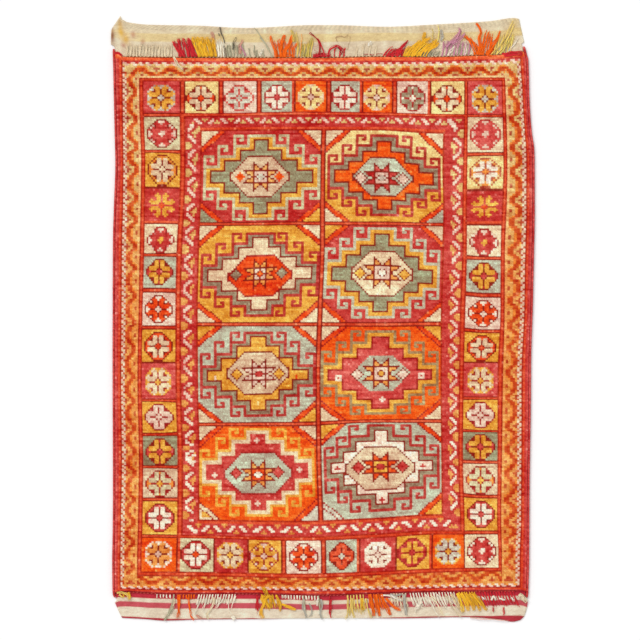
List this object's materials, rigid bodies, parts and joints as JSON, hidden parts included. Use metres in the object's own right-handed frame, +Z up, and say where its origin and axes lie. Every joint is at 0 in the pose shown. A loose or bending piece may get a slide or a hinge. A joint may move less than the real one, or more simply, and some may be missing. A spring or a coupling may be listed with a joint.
{
  "type": "bergama rug",
  "caption": "Flat rectangular knotted wool rug with a coffered geometric field, bordered squares, flat-woven ends and long loose wool locks across both ends.",
  "frame": {"origin": "middle of the flat underside, on the floor", "axes": "+Z up out of the pile, +Y along the length towards the plain cream kilim end, +X across"},
  "size_m": [1.0698, 1.528, 0.0099],
  "materials": {
    "rug_wool": "knotted wool pile in crimson, orange, gold, cream and sage on flat-woven cream ends, matt and soft",
    "selvedge_wool": "wrapped wool yarn, dusty crimson to mauve, matt",
    "lock_wool": "loose long wool yarn in cream, gold, orange, crimson, sage and mauve, soft sheen"
  },
  "bodies": {
    "root": {"rug": "rug_wool", "left_selvedge": "selvedge_wool", "right_selvedge": "selvedge_wool", "top_locks": "lock_wool", "bottom_locks": "lock_wool"}
  },
  "joints": []
}
